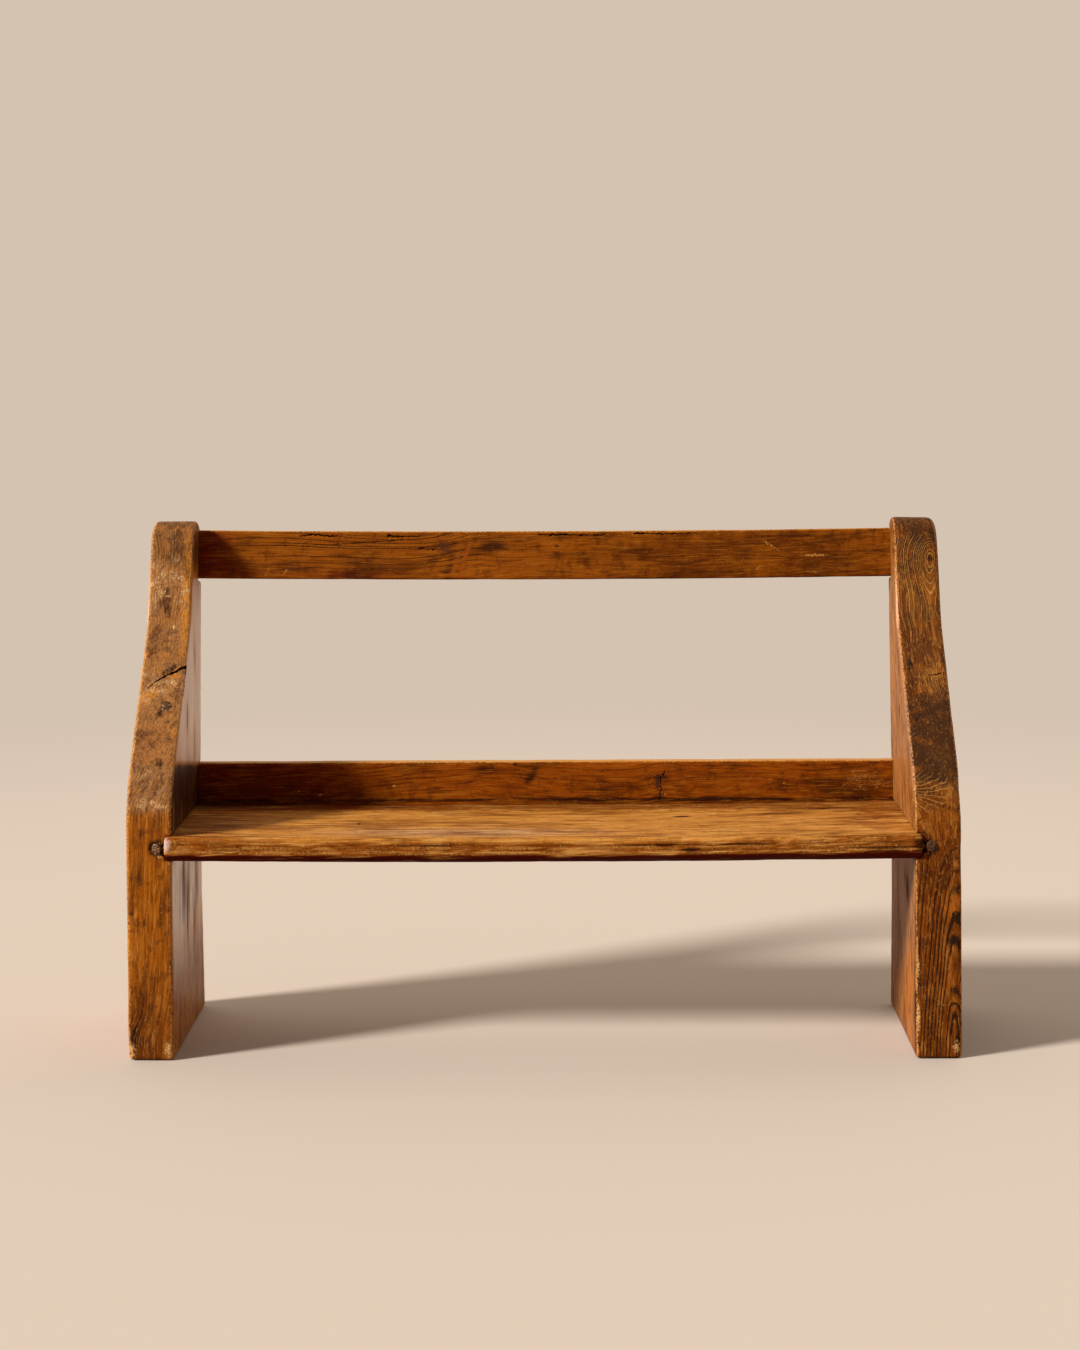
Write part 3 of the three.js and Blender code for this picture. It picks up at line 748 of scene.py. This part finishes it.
topRail = {
    **commonRail, "seed": 71, "nails": [n for n in nailLines if "top_rail" in n],
    "pith": [(-0.7, 0.4, 1.14), (0.7, 0.42, 1.16)],
    "sag": 0.004, "softening": 0.0015, "chipSize": 0.003, "rise": (0.004, 0.001),
    "knotBulges": [(-130, 160, 860, 50, 50, 30, 0.01), (-300, 160, 900, 140, 50, 30, -0.014)],
    "cracks": [
        ([(-456, 165, 886), (-430, 165, 889), (-400, 165, 885), (-385, 165, 887)], (0.6, 1.0), 0.0016, 0.004),
        ([(-440, 165, 868), (-350, 165, 873), (-260, 165, 880)], (0.4, 1.0), 0.0009, 0.002),
        ([(-290, 165, 887), (-250, 165, 885), (-230, 165, 886)], (1.0, 0.5), 0.0015, 0.004),
        ([(-233, 165, 864), (-205, 165, 862), (-182, 165, 862)], (1.0, 0.5), 0.0011, 0.002),
        ([(-10, 165, 889), (60, 165, 888), (115, 165, 888)], (1.0, 0.6), 0.0014, 0.004),
        ([(170, 165, 890), (240, 165, 889), (290, 165, 890)], (1.0, 0.4), 0.0013, 0.004),
    ],
    "figure": [(*everywhere, 0.45), (-320, 163, 870, 220, 50, 40, 0.9)],
    "dark": [
        *stroke((-166, 163, 885), (-180, 163, 812), (12, 20, 12), 0.6), (25, 163, 868, 6, 10, 3, 1.2),
        (61, 163, 875, 5, 10, 3, 1.0),
        *inPlane("Y", 163, 20,
            (-98, 866, 34, 18, 0.7), (0, 804.5, 2000, 3, 0.8), (150, 830, 60, 20, 0.45),
            (620, 840, 30, 50, 0.4), (-480, 825, 100, 12, 0.5), (-300, 820, 100, 10, 0.5),
            (330, 840, 50, 20, 0.45)),
    ],
    "gold": [
        *stroke((-140, 163, 866), (-158, 163, 812), (5, 20, 6), 1.2),
        *stroke((-158, 163, 850), (-174, 163, 812), (3, 20, 5), 1.0),
    ],
    # painted shadow: the rail's left part deep red, where the left end's shadow falls
    "red": [(-660, 163, 850, 85, 30, 80, 1.3), (-400, 163, 815, 300, 30, 16, 0.55)],
    "dull": [(350, 163, 850, 350, 30, 80, 1.0), (-450, 163, 820, 200, 30, 20, 0.8)],
    "silver": [(-184, 163, 866, 16, 20, 14, 0.9), (-190, 163, 822, 10, 20, 10, 0.6)],
    "pale": [
        *stroke((410, 163, 874), (437, 163, 857), (2.5, 10, 2), 1.1, 9),
        *stroke((-520, 163, 812), (-513, 163, 826), (2, 10, 3), 1.0, 4),
        *stroke((-487, 163, 814), (-480, 163, 824), (2, 10, 3), 1.0, 4),
        *stroke((395, 163, 821), (410, 163, 833), (2, 10, 2), 0.9, 5), (0, 180, 896.5, 2000, 30, 3.5, 1.0),
        (505, 163, 847, 30, 20, 3, 0.8), (505, 163, 816, 16, 20, 3, 0.6),
    ],
    "grey": [(510, 163, 845, 100, 30, 40, 0.75), (-380, 163, 860, 200, 30, 30, 0.6)],
}

railLook = {**commonLook, "ringWidth": 0.0034, "gloss": 0.08, "roughness": 0.40, "patterns": {
    "fleck": ("place", 0.0026, 0.0030, 0.0, 2.0, 0.5)}}
railLayers = [
    # the second layer is painted shadow, deep red where the left end's shadow falls
    ("dull", 0.25, 0.9, 0.8, "#643004"), ("red", 0.25, 0.9, 0.85, "#6a1404"),
    ("cloud", 0.5, 0.66, 0.55, "#431b02"), ("cloud", 0.46, 0.32, 0.35, "#a65c0c"),
    ("ring*figure", 0.15, 0.8, 0.55, "#3a1602"), ("streak", 0.52, 0.68, 0.5, "#3c1702"),
    ("streak", 0.45, 0.32, 0.4, "#ae6816"), ("mottle", 0.52, 0.64, 0.4, "#431a04"),
    ("dark", 0.25, 0.9, 0.85, "#230a04"), ("fibre", 0.54, 0.68, 0.45, "#2c0f02"),
    ("fibre", 0.45, 0.32, 0.35, "#b0701c"), ("ring*figure", 0.35, 0.8, 0.9, "#1e0a02"),
    ("silver", 0.25, 0.9, 0.75, "#38221e"), ("fibre*grey", 0.48, 0.62, 0.45, "#b87c34"),
    ("fleck*grey", 0.52, 0.68, 0.35, "#cf9656"), ("gold", 0.25, 0.9, 0.8, "#9c4c14"),
    ("fleck", 0.64, 0.74, 0.35, "#c98a44"), ("fleck", 0.38, 0.28, 0.4, "#220b02"),
    ("scratch", 0.76, 0.83, 0.4, "#d09a58"), ("pale", 0.25, 0.9, 0.85, "#dea04c"),
    ("wear", 0.4, 1.0, 0.85, "#eeae4a"), ("wear*fleck", 0.6, 0.78, 0.8, "#2a1206"),
    ("crack", 0.0, 1.0, 1.0, "#120803"),
]
seatLayers = [
    # the first layer is painted sheen near the front
    ("grey", 0.25, 0.9, 0.6, "#c8a47e"), ("gold", 0.25, 0.9, 0.95, "#8c4604"),
    ("dull", 0.25, 0.9, 0.85, "#7c4006"), ("cloud", 0.5, 0.64, 0.65, "#7c4208"),
    ("cloud", 0.46, 0.32, 0.45, "#e0a95c"), ("ring*figure", 0.15, 0.8, 0.4, "#6e3a08"),
    ("streak", 0.53, 0.66, 0.6, "#663204"), ("streak", 0.45, 0.32, 0.45, "#e4ae62"),
    ("mottle", 0.52, 0.66, 0.32, "#703a06"), ("fibre", 0.55, 0.68, 0.5, "#4c2402"),
    # the red layer is painted shadow at the seat's rear left
    ("fibre", 0.44, 0.32, 0.3, "#dba860"), ("red", 0.2, 0.8, 0.8, "#620a00"),
    ("mottle*gold", 0.46, 0.62, 0.35, "#4c2402"), ("fibre*gold", 0.48, 0.62, 0.4, "#c8883a"),
    ("fleck*gold", 0.56, 0.68, 0.35, "#dca254"), ("fleck", 0.62, 0.72, 0.4, "#e6bb78"),
    ("fleck", 0.4, 0.3, 0.45, "#401c02"), ("scratch", 0.75, 0.82, 0.4, "#e6bb80"),
    ("pale", 0.25, 0.9, 0.8, "#e0b068"), ("wear", 0.45, 1.0, 0.3, "#c98f44"),
    ("dark", 0.25, 0.9, 0.95, "#301003"), ("wear*fleck", 0.6, 0.78, 0.35, "#4a2206"),
    # painted shade under the nose, then a painted highlight on the left end
    ("stain", 0.3, 0.8, 0.97, "#420301"), ("shine", 0.3, 1.0, 0.85, "#e6ccc8"),
    ("crack", 0.0, 1.0, 1.0, "#120803"),
]
looks = {
    "left_end": {**commonLook, "wood": "#a65e0c", "polish": 0.12, "varnish": 0.75, "patterns": {
        "cloud": ("flow", 0.036, 0.24, 0.0, 3.0, 0.5)}, "layers": [
        # the grey layer is partly painted sheen on the shoulder
        ("end", 0.2, 0.6, 0.8, "#946740"), ("grey", 0.25, 0.7, 0.85, "#94683f"),
        ("dull", 0.25, 0.9, 0.8, "#6e4a28"), ("red", 0.25, 0.9, 0.8, "#703604"),
        ("gold", 0.25, 0.9, 0.9, "#c98430")] + grainLayers + [
        # painted reflection: the inner face made pale and streaked as the mirrored wall would show it, under
        # the real coat; the last layer is painted shade
        ("silver", 0.15, 0.75, 0.95, "#cc8a28"), ("silver*cloud*figure", 0.5, 0.64, 0.65, "#683404"),
        ("silver*streak*figure", 0.52, 0.66, 0.6, "#683404"),
        ("dark*silver", 0.3, 0.8, 0.85, "#884814"), ("stain", 0.25, 0.9, 0.97, "#280400")] + patinaLayers},
    "right_end": {**commonLook, "wood": "#7a3e06", "polish": 0.0, "lineCount": 1.6, "layers": [
        ("end", 0.2, 0.6, 0.7, "#553314"), ("grey", 0.25, 0.8, 0.7, "#604020"),
        ("silver", 0.1, 0.8, 0.88, "#9e6636"), ("gold", 0.25, 0.9, 0.85, "#b8681c")] + grainLayers + [
        ("dull", 0.25, 1.05, 0.85, "#38200e"), ("ring*figure", 0.3, 0.72, 0.92, "#241004"),
        ("dark", 0.5, 1.0, 0.8, "#241006")] + patinaLayers},
    "seat_board": {**commonLook, "ringWidth": 0.0042, "gloss": 0.06, "roughness": 0.56, "wood": "#c48436",
                   "breakers": {**breakers, "pale": ("fibre", 0.7)}, "layers": seatLayers},
    "lower_back_rail": {**railLook, "wood": "#8f4606", "layers": railLayers},
    "top_back_rail": {**railLook, "wood": "#94500c", "layers": railLayers},
}
for name, board in (("left_end", leftEnd), ("right_end", rightEnd), ("seat_board", seatBoard),
                    ("lower_back_rail", lowerRail), ("top_back_rail", topRail)):
    makeBoard(name, board, agedPine("handPlanedPineWaxed_" + name, looks[name]))


# Nails: forged iron, hammered and left to rust over, so dull, dark and uneven

ironLook = {
    # size and detail of the rust's patches and of the pits, then the rust's colours from its darkest
    # places to its lightest, the pits' depth, and the smoothest and roughest places
    "rustPatches": (0.006, 4.0), "pits": (0.004, 2.0),
    "rust": [(0.3, "#2c1c10"), (0.46, "#503620"), (0.58, "#6e4e34"), (0.72, "#a07c58")],
    "metallic": 0.6, "pitDepth": 0.0004, "roughness": (0.38, 0.65),
}


def forgedIron(look):
    material, tree = newMaterial("forgedIronRusted")
    place = addNode(tree, "TexCoord")["Object"]
    rust, pits = (addNode(tree, "TexNoise", {"Vector": place, "Scale": 1 / size, "Detail": detail})["Fac"]
                  for size, detail in (look["rustPatches"], look["pits"]))
    stops = [(place, linear(shade)) for place, shade in look["rust"]]
    colour = addNode(tree, "ValToRGB", {"Fac": rust, "stops": stops})[0]
    smoothest, roughest = look["roughness"]
    roughness = addNode(tree, "MapRange", {0: pits, 1: noiseLow, 2: noiseHigh, 3: smoothest, 4: roughest})[0]
    height = addNode(tree, "Math", {**multiply, 0: pits, 1: look["pitDepth"]})[0]
    bump = addNode(tree, "Bump", {"Height": height, "Strength": 1.0, "Distance": 1.0})[0]
    shader = addNode(tree, "BsdfPrincipled", {
        "Metallic": look["metallic"], "Base Color": colour, "Roughness": roughness, "Normal": bump})[0]
    addNode(tree, "OutputMaterial", {"Surface": shader})
    return material


nailLook = {
    "sides": 28, "domeRise": 0.0022, "firstSeed": 100, "seedStep": 7,
    # the dome from the crown outwards, in shares of the head's radius and of the dome's rise, and how far
    # down its faces are split
    "dome": [(0, 0), (0.35, 0.04), (0.62, 0.16), (0.82, 0.42), (0.96, 0.85), (1.0, 1.25)], "fineTo": 1.3,
    # the rim's thickness and the shank's radius in head radii; the rim's lower edge and the hollow under it
    "rimShare": 0.35, "shankShare": 0.36, "rimUnder": 0.97, "neckDepth": 1.1,
    # the shank tapers to its point: shares of its radius and of the nail's length
    "taper": [(1.0, 0.5), (0.8, 0.85), (0, 1.0)],
    # hammered: how wide blows and swellings are in head radii, how deep the blows go, and how far in the
    # swellings bring the rim
    "blowSize": 0.9, "hammerDepth": 0.0008, "swellSize": 1.6, "swellShare": 0.05,
    "spread": {"seat_nail": 1.28, "repair": 1.22},  # heads that were beaten wider than the solids' are
}


def forgeNail(name, seed, material, look):
    start, axis, length, headRadius = nailLines[name]
    for kind, share in look["spread"].items():
        headRadius *= share if name.startswith(kind) else 1
    shank, rim, dome = headRadius * look["shankShare"], headRadius * look["rimShare"], look["domeRise"]
    profile = [(headRadius * r, dome * z) for r, z in look["dome"]]
    profile += [(headRadius * look["rimUnder"], dome + rim), (shank, dome + rim * look["neckDepth"])]
    profile += [(shank * r, length * z) for r, z in look["taper"]]
    bm = bmesh.new()
    ring = [bm.verts.new((r, 0, z)) for r, z in profile]
    edges = [bm.edges.new(pair) for pair in zip(ring, ring[1:])]
    bmesh.ops.spin(bm, geom=ring + edges, cent=(0, 0, 0), axis=(0, 0, 1), angle=2 * math.pi,
                   steps=look["sides"], use_merge=True)
    bmesh.ops.remove_doubles(bm, verts=bm.verts, dist=weldDistance)
    crown = [e for e in bm.edges if max(v.co.z for v in e.verts) < dome * look["fineTo"]]
    bmesh.ops.subdivide_edges(bm, edges=crown, cuts=1, use_grid_fill=True)
    points = np.array([v.co for v in bm.verts])
    blows = drift(points, headRadius * look["blowSize"], seed)
    swellings = drift(points, headRadius * look["swellSize"], seed + 1)
    for vert, blow, swelling in zip(bm.verts, blows, swellings):
        if vert.co.z < dome + rim:
            share = 1 - look["swellShare"] * abs(swelling)
            x, y, z = vert.co
            vert.co = (x * share, y * share, z + look["hammerDepth"] * abs(blow))
    standAlong(bm, bm.verts, axis, start)
    bmesh.ops.recalc_face_normals(bm, faces=bm.faces)
    addPiece(name + "_forged", newMesh(name + "_forged", bm), material, name)


iron = forgedIron(ironLook)
for index, name in enumerate(sorted(nailLines)):
    forgeNail(name, nailLook["firstSeed"] + nailLook["seedStep"] * index, iron, nailLook)
print("nails forged:", len(nailLines))


# Stage: a pale floor that fades into the backdrop's colour, and light as from a window at the front left

stageLook = {
    "backdrop": "#d5c3b1", "floor": "#d2c9c1", "floorBounce": "#9c7850",  # bounce: the light it scatters
    "size": 40.0, "fadeStart": 1.3, "fadeEnd": 4.5,
    # the room's strength by direction along Y: its front part ends at the first place, its back part
    # starts at the second
    "roomFront": 0.28, "roomBack": 1.35, "roomTurns": (-0.6, 0.8),
}


def lookedAt(tree):
    # 1 for rays that see the surface or its mirror image, 0 for the light that it scatters
    path = addNode(tree, "LightPath")
    seen = path["Is Camera Ray"]
    for ray in ("Is Glossy Ray", "Is Transmission Ray"):
        seen = addNode(tree, "Math", {"operation": "MAXIMUM", 0: seen, 1: path[ray]})[0]
    return seen


def layFloor(look):
    bm = bmesh.new()
    bmesh.ops.create_grid(bm, x_segments=1, y_segments=1, size=look["size"])
    material, tree = newMaterial("floorPlain")
    place = addNode(tree, "TexCoord")["Object"]
    away = addNode(tree, "VectorMath", {"operation": "LENGTH", 0: place})["Value"]
    fade = addNode(tree, "MapRange", {**smooth, 0: away, 1: look["fadeStart"], 2: look["fadeEnd"]})[0]
    seen = lookedAt(tree)
    colour = addNode(tree, "Mix", {
        "data_type": "RGBA", 0: seen, 6: linear(look["floorBounce"]), 7: linear(look["floor"])})[2]
    lit = addNode(tree, "BsdfDiffuse", {"Color": colour})[0]
    glow = addNode(tree, "Emission", {"Color": linear(look["backdrop"])})[0]
    share = addNode(tree, "Math", {**multiply, 0: fade, 1: seen})[0]
    shader = addNode(tree, "MixShader", {0: share, 1: lit, 2: glow})[0]
    addNode(tree, "OutputMaterial", {"Surface": shader})
    floor = addObject("floor", newMesh("floor", bm))
    floor.data.materials.append(material)


def setWorld(look):
    # the room lights the bench less from the front than from behind, as in front of a pale wall
    world = bpy.data.worlds.new("room")
    bpy.context.scene.world = world
    world.use_nodes = True
    tree = world.node_tree
    tree.nodes.clear()
    direction = addNode(tree, "TexCoord")["Generated"]
    towards = addNode(tree, "SeparateXYZ", {0: direction})["Y"]
    low, high = look["roomTurns"]
    strength = addNode(tree, "MapRange", {
        **smooth, 0: towards, 1: low, 2: high, 3: look["roomFront"], 4: look["roomBack"]})[0]
    shown = addNode(tree, "Mix", {"data_type": "FLOAT", 0: lookedAt(tree), 2: strength, 3: 1.0})[0]
    background = addNode(tree, "Background", {"Color": linear(look["backdrop"]), "Strength": shown})[0]
    addNode(tree, "OutputWorld", {"Surface": background})


lampLook = {"window": {"from": (-1.0, -0.5, 0.62), "spread": 10, "strength": 4.6, "colour": "#fff6ea"}}


def hangLamp(name, look):
    lamp = bpy.data.lights.new(name, "SUN")
    lamp.angle = math.radians(look["spread"])
    lamp.energy = look["strength"]
    lamp.color = linear(look["colour"])[:3]
    holder = addObject(name, lamp)
    holder.rotation_mode = "QUATERNION"
    holder.rotation_quaternion = Vector(look["from"]).to_track_quat("Z", "Y")


cameraLook = {  # as fitted to the photo: angles in degrees, the roll in radians
    "place": (0.0788, -4.6431, 1.2481), "turn": -0.996, "pitch": -1.411, "roll": 0.0074,
    "focalPixels": 2580.4, "imageHeight": 1350, "sensorWidth": 36, "shiftShare": -0.2,
}


def setCamera(look):
    data = bpy.data.cameras.new("camera")
    data.sensor_width = look["sensorWidth"]
    data.lens = look["focalPixels"] / look["imageHeight"] * data.sensor_width
    data.shift_y = look["shiftShare"]
    camera = addObject("camera", data)
    turn, pitch = math.radians(look["turn"]), math.radians(look["pitch"])
    forward = Vector((math.sin(turn) * math.cos(pitch), math.cos(turn) * math.cos(pitch), math.sin(pitch)))
    camera.location = look["place"]
    camera.rotation_mode = "QUATERNION"
    camera.rotation_quaternion = forward.to_track_quat("-Z", "Y") @ Quaternion((0, 0, 1), -look["roll"])
    bpy.context.scene.camera = camera


layFloor(stageLook)
setWorld(stageLook)
for name, look in lampLook.items():
    hangLamp(name, look)
setCamera(cameraLook)
bpy.context.scene.view_settings.view_transform = "Standard"
print("stage set")
